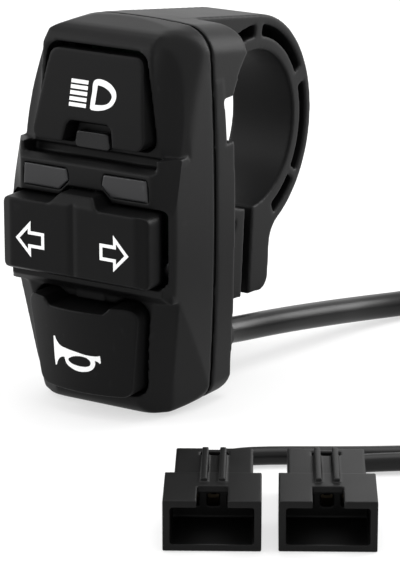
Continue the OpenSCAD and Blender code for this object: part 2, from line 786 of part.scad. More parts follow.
module clamp_screw() {
    color([0.2, 0.2, 0.21]) ear_frame() translate([0, 0, bolt_z]) difference() {
        union() {
            rod_y(nut_y - nut_t - 1.5, bolt_seat, bolt_d / 2);
            rod_y(bolt_seat, bolt_seat + bolt_head_h, bolt_head_d / 2);
        }
        translate([0, bolt_seat + 1.1, 0]) rotate([-90, 0, 0]) cylinder(h = 3, d = 3.45, $fn = 6);
    }
}

module clamp_nut() {
    color([0.6, 0.6, 0.62]) ear_frame() translate([0, 0, bolt_z]) difference() {
        translate([0, nut_y, 0]) rotate([90, 0, 0]) cylinder(h = nut_t, d = nut_af / cos(30), $fn = 6);
        rod_y(nut_y - nut_t - 1, nut_y + 1, bolt_d / 2);
    }
}

// Lead
module cable_grommet() {
    room_y = y_back - wall;
    color([0.03, 0.03, 0.03]) translate([exit_x, 0, exit_z]) difference() {
        union() {
            rod_y(room_y - 0.6, room_y, 3.3);
            rod_y(room_y, y_back, 2.6);
            rod_y(y_back, y_back + 0.9, 3.3);
            translate([0, y_back + 0.9, 0]) rotate([-90, 0, 0]) cylinder(h = relief_y - y_back - 1.6,
                r1 = 3, r2 = 2.4);
        }
        rod_y(room_y - 2, relief_y + 1, cable_d / 2);
    }
}

module lead_wires() {
    color([0.6, 0.1, 0.1]) translate([exit_x, 0, exit_z])
        for (i = [0:5]) translate([1.2 * cos(60 * i), 0, 1.2 * sin(60 * i)]) rod_y(board_y, inner_y, 0.45);
}

module switch_cable() {
    color([0.04, 0.04, 0.04]) tube(concat(lead_route, [coil_start]), cable_d, 8, [0, 1, 0],
        [sin(coil_from), -cos(coil_from), 0]);
}

module cable_coil() {
    last = coil_from - coil_total;
    color([0.04, 0.04, 0.04]) tube(coil_route, cable_d, 6, [sin(coil_from), -cos(coil_from), 0],
        [sin(last), -cos(last), 0]);
}

module cable_end() {
    last = coil_from - coil_total;
    color([0.04, 0.04, 0.04]) tube(concat([coil_end], end_route, [at_z(split_in, split_z)]), cable_d, 8,
        [sin(last), -cos(last), 0], at_z(split_dir, 0));
}

module coil_tie() {
    tie_a = 150;
    span = 5.4;
    color([0.02, 0.02, 0.02]) translate([coil_c[0], coil_c[1], 0]) rotate([0, 0, tie_a])
        translate([16.2, 1.5, floor_z]) rotate([90, 0, 0]) linear_extrude(3) difference() {
            square([span, coil_pitch + cable_d + 1.1]);
            translate([0.5, 0.7]) square([span - 1, coil_pitch + cable_d - 0.2]);
        }
}

module cable_split() {
    turn = atan2(split_dir[1], split_dir[0]);
    color([0.03, 0.03, 0.03]) translate(at_z(split_in, split_z)) rotate([0, 0, turn]) rotate([0, 90,
        0]) union() {
        cylinder(h = split_len * 0.55, r = 2.6);
        for (s = [-1, 1]) translate([0, s * 1.3, 0]) cylinder(h = split_len, r = 1.9);
    }
}

module tail(plug, s, straight) {
    start = split_out + s * 1.3 * [-split_dir[1], split_dir[0]];
    tube(tail_route(plug, start, straight), tail_d, 8, at_z(split_dir, 0), at_z(-plug_back, 0));
}

module left_tail() {
    color([0.04, 0.04, 0.04]) tail(left_plug, -1, 4.9);
}

module right_tail() {
    color([0.04, 0.04, 0.04]) tail(right_plug, 1, 2.4);
}

module at_plug(plug) {
    translate(at_z(plug, floor_z)) rotate([0, 0, plug_turn]) children();
}

// Connector housing, its hood open toward -Y
module plug_housing() {
    inner = plug_w - 2 * plug_wall;
    rear_w = plug_w - 2.2;
    difference() {
        union() {
            translate([-plug_w / 2, 0, 0]) cube([plug_w, hood_l, plug_h]);
            translate([-rear_w / 2, hood_l - 0.5, 0]) cube([rear_w, plug_l - hood_l + 0.5, plug_h - 0.6]);
            for (x = [-1.5, 0.7]) translate([x, hood_l - 3.4, plug_h - 1]) cube([0.8, 11.4, 1.5]);
        }
        translate([-inner / 2, -1, plug_wall]) cube([inner, hood_l, plug_h - 2 * plug_wall]);
        translate([-1.85, -1, plug_h - 2]) cube([3.7, 6.2, 3]);
        translate([-1.75, plug_l - 2.6, plug_h - 1.6]) cube([3.5, 1.3, 3]);
        translate([-0.9, plug_l - 0.5, plug_h - 2.4]) cube([1.8, 2, 3]);
        for (x = [-2.5, 0, 2.5]) translate([x - 0.75, hood_l - 2, plug_h / 2 - 0.75]) cube([1.5, 10.4,
            1.5]);
    }
}

module left_connector() {
    color([0.05, 0.05, 0.05]) at_plug(left_plug) plug_housing();
}

module right_connector() {
    color([0.05, 0.05, 0.05]) at_plug(right_plug) plug_housing();
}

module connector_contacts() {
    color([0.75, 0.6, 0.3]) for (p = [left_plug, right_plug]) at_plug(p)
        for (x = [-2.5, 0, 2.5]) translate([x - 0.75, hood_l + 1.8, plug_h / 2 - 0.75]) difference() {
            cube([1.5, 6.6, 1.5]);
            translate([0.4, -1, 0.4]) cube([0.7, 5, 0.7]);
        }
}

coil_gap = min([for (i = [0:len(coil_route) - 1]) for (j = [i + 12:1:len(coil_route) - 1])
    norm(coil_route[i] - coil_route[j])]) - cable_d;
echo(coil_gap = coil_gap);

front_cover();
rear_housing();
cover_gasket();
circuit_board();
headlight_lens();
left_turn_lens();
right_turn_lens();
indicator_leds();
headlight_switch();
headlight_stem();
turn_switch();
turn_slider();
horn_switch();
horn_stem();
headlight_button();
turn_rocker();
rocker_pin();
horn_button();
case_screws();
clamp_screw();
clamp_nut();
cable_grommet();
lead_wires();
switch_cable();
cable_coil();
cable_end();
coil_tie();
cable_split();
left_tail();
right_tail();
left_connector();
right_connector();
connector_contacts();
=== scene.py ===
# %% [markdown]
# # A handlebar switch cluster
# The object is a small black moulded switch box that clamps on a motorbike's handlebar: a headlamp
# button on top, a turn-signal rocker in the middle and a horn button below. A lead leaves the back.
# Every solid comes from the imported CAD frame, in metres, with its origin at the centre of the clamp's
# bore. This script dresses that frame: camera, lead, light, softened mouldings, symbols and finishes.
# Sizes are written in millimetres and multiplied by MM where Blender wants metres.

# %% Load the frame
import json
import math
import bpy
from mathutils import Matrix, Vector


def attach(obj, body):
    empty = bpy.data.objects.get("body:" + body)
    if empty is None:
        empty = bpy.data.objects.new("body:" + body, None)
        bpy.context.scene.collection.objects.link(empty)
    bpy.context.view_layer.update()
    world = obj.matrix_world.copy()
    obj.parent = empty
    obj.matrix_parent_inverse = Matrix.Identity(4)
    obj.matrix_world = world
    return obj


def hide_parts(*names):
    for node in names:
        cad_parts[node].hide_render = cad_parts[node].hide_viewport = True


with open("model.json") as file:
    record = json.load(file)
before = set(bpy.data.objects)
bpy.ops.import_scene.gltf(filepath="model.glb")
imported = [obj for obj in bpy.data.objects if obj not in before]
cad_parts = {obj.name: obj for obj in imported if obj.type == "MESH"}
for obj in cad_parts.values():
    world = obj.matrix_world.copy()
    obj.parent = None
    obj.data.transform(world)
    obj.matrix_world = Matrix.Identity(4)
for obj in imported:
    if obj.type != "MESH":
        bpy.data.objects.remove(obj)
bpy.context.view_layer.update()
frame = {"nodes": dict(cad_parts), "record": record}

nodes = frame["nodes"]
MM = 0.001

# %% [markdown]
# ## Camera
# The view was solved from the round bore of the clamp, whose real radius is known, and from features
# that mirror each other on the front. A long lens a little under half a metre away gives the photo's
# mild perspective. The direction is turned into a rotation with the camera's -Z along the view.

# %% The camera
turn, tilt = math.radians(32.26), math.radians(16.60)
look = Vector((-math.sin(turn) * math.cos(tilt), math.cos(turn) * math.cos(tilt), -math.sin(tilt)))
bpy.ops.object.select_all(action="DESELECT")
bpy.ops.object.camera_add(location=(0.2221, -0.3575, 0.1023),
    rotation=look.to_track_quat("-Z", "Y").to_euler())
camera = bpy.context.object
camera.data.sensor_fit = "VERTICAL"
camera.data.sensor_height = 36
camera.data.lens = 196.0
camera.data.clip_start = 0.02
camera.data.clip_end = 20
bpy.context.scene.camera = camera
print("camera at", [round(v, 4) for v in camera.location], "lens", camera.data.lens)

# %% [markdown]
# ## The lead
# The lead is one length of round jacketed cable, 3.7 mm thick. It leaves the grommet straight back, sinks
# to the surface and lies there. The length that the view doesn't reach is wound in a flat coil of two
# layers, which winds inwards, climbs and winds outwards again. A Bezier curve with automatic handles runs
# smoothly through the points that the CAD tube follows. Such a curve dips before it levels out, so the
# first points on the floor are a hair higher.

# %% The route of the lead
floor_z = -33.0
lie_z = floor_z + 1.85
coil_z = lie_z + 0.6
split_z = floor_z + 2.6
coil_x, coil_y = 55, 16
outer_radius, inner_radius, winding_in = 22.2, 17.4, 4.8
second_layer = 4.2
lead_points = [(6.6, -19.6, -26.6), (6.6, -17.2, -26.6), (6.6, -10.2, -26.7), (6.9, -6.4, -27.2),
    (8.5, 2, -28), (10.4, 12.6, -29.3), (12.1, 21, -30.4), (14.3, 27, lie_z + 0.2), (18, 34, lie_z + 0.02),
    (23.8, 40.6, lie_z), (31.5, 44.8, lie_z), (41, 45.6, lie_z + 0.1), (50.5, 43.2, lie_z + 0.3),
    (59.2, 39, coil_z), (62.6, 37.2, coil_z)]
for swept in range(0, 781, 15):
    if swept <= 360:
        radius = outer_radius - winding_in * swept / 360
    elif swept <= 540:
        radius = inner_radius
    else:
        radius = inner_radius + winding_in * (swept - 540) / 240
    height = coil_z + second_layer * min(1, max(0, (swept - 360) / 180))
    angle = math.radians(60 - swept)
    lead_points.append((coil_x + radius * math.cos(angle), coil_y + radius * math.sin(angle), height))
lead_points += [(77.2, 9, coil_z + 3.9), (77.2, 2, coil_z + 3), (76.9, -4, coil_z + 1.9),
    (75.4, -9.4, coil_z + 1), (73, -13.2, coil_z + 0.4), (70.2, -16, lie_z + 0.7), (68.5, -17, split_z)]
print("points on the lead:", len(lead_points))

# %% A tube along a route
# The thickness sits on the points, so that a box measured round the curve fits the tube.
def lay_cable(name, points, thickness):
    bpy.ops.object.select_all(action="DESELECT")
    bpy.ops.curve.primitive_bezier_curve_add()
    cable = bpy.context.object
    cable.name = name
    cable.location = (0, 0, 0)
    spline = cable.data.splines[0]
    spline.bezier_points.add(len(points) - 2)
    for knot, place in zip(spline.bezier_points, points):
        knot.handle_left_type = knot.handle_right_type = "AUTO"
        knot.co = [v * MM for v in place]
        knot.radius = thickness / 2 * MM
    cable.data.bevel_depth = 1
    cable.data.bevel_resolution = 6
    cable.data.resolution_u = 8
    cable.data.use_fill_caps = True
    length = spline.calc_length()
    print(name, "is", round(length, 4), "m long")
    return cable, length

lead, lead_length = lay_cable("lead", lead_points, 3.7)
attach(lead, "housing")
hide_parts("switch_cable", "cable_coil", "cable_end")

# %% [markdown]
# ## The two tails
# A boot divides the lead into two thinner tails, one for each connector. Each runs beside its neighbour
# along the surface, then turns in a quarter circle into the back of its connector. Both follow the same
# recipe from different starting points, so one function gives the points of either.

# %% The route of a tail
plug_lean = 31
plug_length = 20.5
bend_radius = 4.8
tail_thickness = 2.4
bend_lifts = {90: 0.04, 120: 0.04, 150: 0.29}

def tail_points(plug, start, straight):
    back = (-math.sin(math.radians(plug_lean)), math.cos(math.radians(plug_lean)))
    side = (math.cos(math.radians(plug_lean)), math.sin(math.radians(plug_lean)))
    rear = [plug[i] + plug_length * back[i] for i in (0, 1)]
    meet = [rear[i] + straight * back[i] for i in (0, 1)]
    hub = [meet[i] + bend_radius * side[i] for i in (0, 1)]
    low = floor_z + tail_thickness / 2
    route = [(start[0], start[1], split_z), (start[0] - 2.571, start[1] - 1.545, split_z),
        (start[0] - 7.285, start[1] - 4.378, low + 0.65)]
    for degrees, lift in bend_lifts.items():
        angle = math.radians(degrees + plug_lean)
        x, y = hub[0] + bend_radius * math.cos(angle), hub[1] + bend_radius * math.sin(angle)
        route.append((x, y, low + lift))
    plug_z = floor_z + 1.9
    return route + [(*meet, plug_z), (*rear, plug_z)]

# %% The tails
split_out = (68.5 - 8.57, -17 - 5.15)
left_start = (split_out[0] - 0.67, split_out[1] + 1.114)
right_start = (split_out[0] + 0.67, split_out[1] - 1.114)
left_tail, left_length = lay_cable("tail_left", tail_points((40.9, -67.8), left_start, 4.9), tail_thickness)
right_tail, right_length = lay_cable("tail_right", tail_points((52.7, -60.6), right_start, 2.4), tail_thickness)
for tail, replaced in ((left_tail, "left_tail"), (right_tail, "right_tail")):
    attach(tail, "housing")
    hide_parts(replaced)

# %% [markdown]
# ## Floor and light
# A white floor carries the object. Seen by the camera, in a reflection or through a window it is partly
# glow and partly matt white, so the background is white while the object's soft shadow stays. A large lamp
# overhead lights the tops, two behind make the sheen on the back edge and the flank, and one at the left
# parts the front from the side. An even white sky fills in the rest.

# %% The white background for camera, mirror and window rays
def seen_rays(tree):
    path = tree.nodes.new("ShaderNodeLightPath")
    first = tree.nodes.new("ShaderNodeMath")
    both = tree.nodes.new("ShaderNodeMath")
    first.operation = both.operation = "MAXIMUM"
    tree.links.new(path.outputs["Is Camera Ray"], first.inputs[0])
    tree.links.new(path.outputs["Is Glossy Ray"], first.inputs[1])
    tree.links.new(first.outputs[0], both.inputs[0])
    tree.links.new(path.outputs["Is Transmission Ray"], both.inputs[1])
    return both.outputs[0]

# %% The floor
floor_size = 6
floor_gap = 0.00005
bpy.ops.object.select_all(action="DESELECT")
bpy.ops.mesh.primitive_plane_add(size=floor_size, location=(0, 0, floor_z * MM - floor_gap))
floor = bpy.context.object
floor.name = "floor"
paper = bpy.data.materials.new("paper")
paper.use_nodes = True
tree = paper.node_tree
tree.nodes.clear()
out = tree.nodes.new("ShaderNodeOutputMaterial")
glow = tree.nodes.new("ShaderNodeEmission")
matt = tree.nodes.new("ShaderNodeBsdfDiffuse")
blend = tree.nodes.new("ShaderNodeMixShader")
seen = tree.nodes.new("ShaderNodeMixShader")
glow.inputs["Strength"].default_value = 1.0
matt.inputs["Color"].default_value = (0.95, 0.95, 0.95, 1)
blend.inputs[0].default_value = 0.4
tree.links.new(glow.outputs[0], blend.inputs[1])
tree.links.new(matt.outputs[0], blend.inputs[2])
tree.links.new(seen_rays(tree), seen.inputs[0])
tree.links.new(matt.outputs[0], seen.inputs[1])
tree.links.new(blend.outputs[0], seen.inputs[2])
tree.links.new(seen.outputs[0], out.inputs["Surface"])
floor.data.materials.append(paper)
print("floor at", round(floor.location.z, 5), "m")

# %% The sky
world = bpy.context.scene.world or bpy.data.worlds.new("sky")
bpy.context.scene.world = world
world.use_nodes = True
tree = world.node_tree
tree.nodes.clear()
out = tree.nodes.new("ShaderNodeOutputWorld")
soft = tree.nodes.new("ShaderNodeBackground")
white = tree.nodes.new("ShaderNodeBackground")
mix = tree.nodes.new("ShaderNodeMixShader")
for background, strength in ((soft, 0.75), (white, 1.0)):
    background.inputs["Color"].default_value = (1, 1, 1, 1)
    background.inputs["Strength"].default_value = strength
tree.links.new(seen_rays(tree), mix.inputs[0])
tree.links.new(soft.outputs[0], mix.inputs[1])
tree.links.new(white.outputs[0], mix.inputs[2])
tree.links.new(mix.outputs[0], out.inputs["Surface"])
print("sky lights at", soft.inputs["Strength"].default_value)

# %% The lamps
# Each lamp is a rectangle that faces the origin: place and size in metres, power in watts.
def add_lamp(name, place, size, power):
    bpy.ops.object.select_all(action="DESELECT")
    turned = (-Vector(place)).to_track_quat("-Z", "Y").to_euler()
    bpy.ops.object.light_add(type="AREA", location=place, rotation=turned)
    lamp = bpy.context.object
    lamp.name = name
    lamp.data.shape = "RECTANGLE"
    lamp.data.size, lamp.data.size_y = size
    lamp.data.energy = power

add_lamp("overhead_lamp", (0, 0.1, 1.0), (0.8, 0.8), 6)
add_lamp("back_lamp", (-0.45, 0.75, 0.27), (0.9, 0.3), 0.7)
add_lamp("right_lamp", (0.47, 0.76, 0.31), (0.4, 0.5), 6)
add_lamp("left_lamp", (-0.6, -0.4, 0.3), (0.4, 0.6), 3.5)
bpy.context.scene.view_settings.view_transform = "Standard"

# %% [markdown]
# ## The groove along the seam
# The joint between the two halves of the housing shows as a thin dark line all round the box. A groove cut
# into both halves makes that line by its own shadow. Rays from outside find the outline of the front cover
# at the seam, a thin tube is laid along it, and the Boolean modifiers further down subtract the tube.

# %% The groove's cutter
seam_y, middle_z = -22.2, -6.65
ray_start = 60
groove_width = 0.8
rim = []
for degrees in range(0, 360, 2):
    away = Vector((math.cos(math.radians(degrees)), 0, math.sin(math.radians(degrees))))
    start = Vector((0, seam_y - 0.1, middle_z)) + ray_start * away
    hit = nodes["front_cover"].ray_cast(start * MM, -away)
    rim.append((hit[1].x / MM, seam_y, hit[1].z / MM))
groove, groove_length = lay_cable("groove_cutter", rim, groove_width)
groove.data.splines[0].use_cyclic_u = True
groove.data.use_fill_caps = False
bpy.ops.object.convert(target="MESH")
groove = bpy.context.object
print("seam outline:", round(groove_length, 4), "m")

# %% [markdown]
# ## Fillers for the cover
# Over the two windows the cover has a dark groove with a floor, and the band below it ends in slopes. Three
# blocks fill what the solid leaves open there. They are joined to the cover's copy, so that the remesh
# melts them into one skin with it.

# %% The filler blocks
def block(name, low, high):
    bpy.ops.object.select_all(action="DESELECT")
    middle = [(a + b) / 2 * MM for a, b in zip(low, high)]
    bpy.ops.mesh.primitive_cube_add(size=1, location=middle, scale=[(b - a) * MM for a, b in zip(low, high)])
    bpy.ops.object.transform_apply(location=True, rotation=True, scale=True)
    bpy.context.object.name = name
    return bpy.context.object

fillers = [block("groove_floor", (-12.5, -32.6, 0.95), (12.5, -29.8, 1.48)),
    block("left_end", (-12.9, -33, 0.9), (-10.5, -28.8, 3.2)),
    block("right_end", (10.5, -33, 0.9), (12.9, -28.8, 3.2))]
print("fillers:", [piece.name for piece in fillers])

# %% [markdown]
# ## Softened mouldings
# An injection mould leaves no sharp edge: every corner has a radius of a few tenths of a millimetre, and
# that is what catches the light. A Bevel modifier fails where many small faces meet, so each moulding here
# starts as a copy of its CAD solid. A voxel remesh gives it an even skin, a few rounds of smoothing melt the
# edges, and a decimation thins what lies flat. Normals weighted by area keep the flat faces flat to the eye.

# %% Add a modifier and apply it
def work(piece, kind, **settings):
    modifier = piece.modifiers.new(kind.lower(), kind)
    for setting, value in settings.items():
        setattr(modifier, setting, value)
    bpy.ops.object.modifier_apply(modifier=modifier.name)

# %% Soften a copy of a solid
# added and cutter are joined to and cut from the copy, shape gives each point a new y, and where says how
# far a point takes part in a second, longer smoothing.
slot_of = {row["node"]: row["material_slot"] for row in frame["record"]["subparts"]}
prefix = "soft_"
weld_distance = 0.000001
smooth_factor = 0.5
flow_rounds = 90
area_weight = 60

def soften(name, body, voxel, rounds, keep, cutter=None, added=(), shape=None, where=None):
    bpy.ops.object.select_all(action="DESELECT")
    piece = bpy.data.objects.new(prefix + name, nodes[name].data.copy())
    bpy.context.scene.collection.objects.link(piece)
    bpy.context.view_layer.objects.active = piece
    piece.select_set(True)
    bpy.ops.object.mode_set(mode="EDIT")
    bpy.ops.mesh.select_all(action="SELECT")
    bpy.ops.mesh.remove_doubles(threshold=weld_distance)
    bpy.ops.object.mode_set(mode="OBJECT")
    for filler in added:
        work(piece, "BOOLEAN", object=filler, operation="UNION", solver="EXACT")
    if cutter:
        work(piece, "BOOLEAN", object=cutter, operation="DIFFERENCE", solver="EXACT")
    work(piece, "REMESH", mode="VOXEL", voxel_size=voxel * MM)
    if shape:
        for corner in piece.data.vertices:
            corner.co.y = shape(*(corner.co / MM)) * MM
    work(piece, "SMOOTH", factor=smooth_factor, iterations=rounds)
    if where:
        flow = piece.vertex_groups.new(name="flow")
        for corner in piece.data.vertices:
            weight = where(*(corner.co / MM))
            if weight > 0:
                flow.add([corner.index], weight, "REPLACE")
        work(piece, "SMOOTH", factor=smooth_factor, iterations=flow_rounds, vertex_group="flow")
        piece.vertex_groups.clear()
    work(piece, "DECIMATE", ratio=keep)
    bpy.ops.object.shade_smooth()
    work(piece, "WEIGHTED_NORMAL", weight=area_weight)
    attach(piece, body)
    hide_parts(name)
    print(piece.name, "faces:", len(piece.data.polygons))
    return piece

# %% [markdown]
# ## The housing halves
# The two halves are the largest mouldings. On the cover, the shoulders beside the headlamp button and the
# foot below the horn button flow into the sides, so they get the second smoothing. The ends of the middle
# band slope back towards the sides. On the rear half, the relief in the back of the box slopes where it
# faces the clamp's bore. Each of these is a rule that moves points of the even skin, which a remesh allows.

# %% Where the cover flows, and how its band ends
def ramp(value, low, high):
    return min(1, max(0, (value - low) / (high - low)))

def cover_flow(x, y, z):
    shoulder = ramp(abs(x), 7, 8.5) * ramp(y, -28.6, -27.4) * ramp(y, -22.8, -23.6) * ramp(z, 3.5, 5.5)
    foot = ramp(abs(x), 6.5, 8.5) * ramp(y, -24.5, -27) * ramp(z, -27.5, -30)
    return max(shoulder, 0.6 * foot)

band_foot, band_bend, band_top = -5.2, -3.7, 3.4
band_face, band_back = -34, -30
band_half = 10.4
end_rise, end_twist, foot_swell = 0.692, 0.1115, 1.2

def band_ends(x, y, z):
    if y > band_back or z < band_foot or z > band_top:
        return y
    rise = end_rise + end_twist * (max(z, band_bend) - band_bend)
    slope = band_face + (abs(x) - band_half) * rise - foot_swell * ramp(z, band_bend, band_foot)
    return max(y, min(slope, band_back))

front = soften("front_cover", "housing", voxel=0.2, rounds=6, keep=0.5, cutter=groove, added=fillers,
    shape=band_ends, where=cover_flow)

# %% The rear half
def relief_slope(x, y, z):
    if -20.6 < y < -18.9 and 3.1 < z < 9.4:
        return y + 0.15 + 0.45 * ramp(z, 9.2, 3.4)
    return y

rear = soften("rear_housing", "housing", voxel=0.24, rounds=7, keep=0.4, cutter=groove, shape=relief_slope)
for tool in (groove, *fillers):
    bpy.data.objects.remove(tool)

# %% [markdown]
# ## Buttons, windows and connectors
# These are small mouldings with a skin of their own: the smaller the piece, the finer the voxels. The face
# of the headlamp button leans back towards its upper edge, in line with the cover round it. Its copy is
# sheared after the smoothing, fully at the face and not at all where the button slides in its opening.

# %% The three buttons
lamp_button = soften("headlight_button", "headlight_button", voxel=0.12, rounds=22, keep=0.4)
lean, lean_centre = 0.21, 10.93
for corner in lamp_button.data.vertices:
    x, y, z = corner.co / MM
    corner.co.y += ramp(y, -30.6, -32) * lean * (z - lean_centre) * MM
rocker = soften("turn_rocker", "turn_rocker", voxel=0.14, rounds=22, keep=0.4)
horn = soften("horn_button", "horn_button", voxel=0.13, rounds=24, keep=0.4)

# %% The indicator windows
windows = [soften(name, "housing", voxel=0.09, rounds=24, keep=0.4)
    for name in ("headlight_lens", "left_turn_lens", "right_turn_lens")]

# %% The connector housings
plugs = [soften(name, "housing", voxel=0.14, rounds=4, keep=0.3)
    for name in ("left_connector", "right_connector")]

# %% [markdown]
# ## The cords
# The boot and the tie sit on the lead, and each connector on its own tail. The lengths of the lead and of the
# left tail are printed together.

print("lead and left tail together:", round(lead_length + left_length, 3), "m")

# %% [markdown]
# ## Symbols
# The three signs are the common ones of vehicle controls: headlamp beam, turn arrows and horn. On the real
# part they are pad-printed in white. Each is drawn as flat closed curves in the front view, where a point
# with a third value is a corner and any other is smooth. The filled curves become a mesh, which is laid on
# the button's face by projection along the view from the front, and given the thickness of ink.

# %% Print a symbol on a button
ahead_y = -45
ink_gap, ink_thickness = 0.015, 0.03

def print_symbol(name, loops, button, body):
    bpy.ops.object.select_all(action="DESELECT")
    bpy.ops.curve.primitive_bezier_curve_add()
    mark = bpy.context.object
    mark.name = name
    mark.data.splines.clear()
    mark.data.dimensions = "2D"
    mark.data.fill_mode = "BOTH"
    mark.data.resolution_u = 6
    for loop in loops:
        spline = mark.data.splines.new("BEZIER")
        spline.bezier_points.add(len(loop) - 1)
        spline.use_cyclic_u = True
        for knot, point in zip(spline.bezier_points, loop):
            kind = "VECTOR" if len(point) == 3 else "AUTO"
            knot.handle_left_type = knot.handle_right_type = kind
            knot.co = (point[0] * MM, point[1] * MM, 0)
    bpy.ops.object.convert(target="MESH")
    mark = bpy.context.object
    mark.rotation_euler = (math.pi / 2, 0, 0)
    mark.location = (0, ahead_y * MM, 0)
    bpy.ops.object.transform_apply(location=True, rotation=True, scale=True)
    bpy.ops.object.mode_set(mode="EDIT")
    bpy.ops.mesh.select_all(action="SELECT")
    bpy.ops.mesh.quads_convert_to_tris()
    bpy.ops.mesh.subdivide(number_cuts=4)
    bpy.ops.object.mode_set(mode="OBJECT")
    work(mark, "SHRINKWRAP", wrap_method="PROJECT", use_project_y=True, wrap_mode="ABOVE_SURFACE",
        offset=ink_gap * MM, target=button)
    work(mark, "SOLIDIFY", thickness=ink_thickness * MM, offset=1)
    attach(mark, body)
    print(name, "faces:", len(mark.data.polygons))
    return mark

# %% The headlamp beam
beam = [[(-3.35, z, 1), (-0.66, z, 1), (-0.66, z - 0.5, 1), (-3.35, z - 0.5, 1)]
    for z in (12.39, 11.66, 10.9, 10.12, 9.37)]
beam.append([(0.25, 12.51), (0.75, 12.76), (1.7, 12.72), (2.65, 12.42), (3.4, 11.90), (3.8, 11.33),
    (3.9, 10.76), (3.75, 10.14), (3.3, 9.53), (2.6, 9.10), (1.7, 8.82), (0.7, 8.72), (0.1, 8.84),
    (0.02, 9.29), (0.1, 11.00), (0.12, 12.23)])
beam.append([(0.85, 11.99, 1), (1.6, 11.90), (2.4, 11.61), (2.95, 11.23), (3.22, 10.76), (3.1, 10.29),
    (2.75, 9.86), (2.1, 9.58), (1.3, 9.48), (0.72, 9.45, 1)])
marks = [print_symbol("beam_symbol", beam, lamp_button, "headlight_button")]

# %% The turn arrows
arrow = [[(9.0, -8.85), (6.57, -6.3), (6.6, -7.7), (4.42, -7.72), (4.42, -9.98), (6.57, -9.98), (6.57, -11.3)],
    [(8.36, -8.85), (7.02, -7.43), (7.02, -8.17), (4.88, -8.17), (4.88, -9.53), (7.0, -9.53), (7.0, -10.25)]]
arrows = [[(side * x, z, 1) for x, z in loop] for side in (-1, 1) for loop in arrow]
marks.append(print_symbol("arrow_symbols", arrows, rocker, "turn_rocker"))

# %% The horn
trumpet = [[(-3.82, -22.04, 1), (-3.55, -21.98, 1), (-3.44, -22.34), (-3.2, -22.72), (-2.73, -23.14),
    (-1.59, -23.42), (-0.09, -23.62), (1.33, -23.83), (2.51, -23.86), (3.25, -23.78), (3.52, -23.69, 1),
    (3.56, -24.08), (3.57, -24.72, 1), (3.44, -24.81, 1), (3.11, -24.57), (2.73, -24.49, 1), (2.75, -24.94),
    (2.53, -25.51), (1.99, -26.0), (1.11, -26.31), (0.01, -26.39), (-0.99, -26.13), (-1.73, -25.68),
    (-2.01, -25.13), (-2.09, -24.7, 1), (-2.49, -24.77), (-3.04, -25.11), (-3.43, -25.64), (-3.64, -26.16, 1),
    (-3.86, -26.28, 1), (-3.92, -25.38)],
    [(-1.45, -24.99), (-1.02, -24.55), (-0.14, -24.24), (0.94, -24.15), (1.71, -24.34), (2.06, -24.73),
    (1.99, -25.21), (1.52, -25.51), (0.81, -25.62), (-0.27, -25.58), (-1.1, -25.36)]]
marks.append(print_symbol("horn_symbol", trumpet, horn, "horn_button"))

# %% [markdown]
# ## Finishes
# The mouldings are black plastic with a spark-eroded texture: a fine even grain that breaks the gloss. One
# shader group makes that grain and a slow unevenness. A second one finds raised edges and paints a highlight on
# them, as light catches rounded edges. Both only put out values, which the finishes mix into colour, roughness
# and bump.

# %% An empty shader group
def new_group(name, inputs, outputs):
    group = bpy.data.node_groups.new(name, "ShaderNodeTree")
    for title, kind in inputs.items():
        group.interface.new_socket(title, in_out="INPUT", socket_type=kind)
    for title in outputs:
        group.interface.new_socket(title, in_out="OUTPUT", socket_type="NodeSocketFloat")
    return group, group.nodes.new("NodeGroupInput"), group.nodes.new("NodeGroupOutput")

# %% The grain group
grain_group, gate_in, gate_out = new_group("spark_grain",
    {"Place": "NodeSocketVector", "Fineness": "NodeSocketFloat"}, ("Height", "Patch"))
fine = grain_group.nodes.new("ShaderNodeTexNoise")
fine.inputs["Detail"].default_value = 3
slow = grain_group.nodes.new("ShaderNodeTexNoise")
slow.inputs["Scale"].default_value = 90
slow.inputs["Detail"].default_value = 4
grain_group.links.new(gate_in.outputs["Place"], fine.inputs["Vector"])
grain_group.links.new(gate_in.outputs["Fineness"], fine.inputs["Scale"])
grain_group.links.new(gate_in.outputs["Place"], slow.inputs["Vector"])
grain_group.links.new(fine.outputs[0], gate_out.inputs["Height"])
grain_group.links.new(slow.outputs[0], gate_out.inputs["Patch"])
print("group:", grain_group.name)

# %% The painted edge highlight group
# Painted highlight: raised edges, found by their pointiness, are made lighter in the colour, as light catching
# the rounded edges.
edge_highlight_group, gate_in, gate_out = new_group("rubbed_edges", {"Patch": "NodeSocketFloat"}, ("Edge",))
form = edge_highlight_group.nodes.new("ShaderNodeNewGeometry")
raised = edge_highlight_group.nodes.new("ShaderNodeMapRange")
raised.inputs["From Min"].default_value = 0.52
raised.inputs["From Max"].default_value = 0.62
uneven = edge_highlight_group.nodes.new("ShaderNodeMath")
uneven.operation = "MULTIPLY"
edge_highlight_group.links.new(form.outputs["Pointiness"], raised.inputs["Value"])
edge_highlight_group.links.new(raised.outputs[0], uneven.inputs[0])
edge_highlight_group.links.new(gate_in.outputs["Patch"], uneven.inputs[1])
edge_highlight_group.links.new(uneven.outputs[0], gate_out.inputs["Edge"])
print("group:", edge_highlight_group.name)

# %% A finish from the two groups
patch_share = 0.35
grain_depth = 0.00003

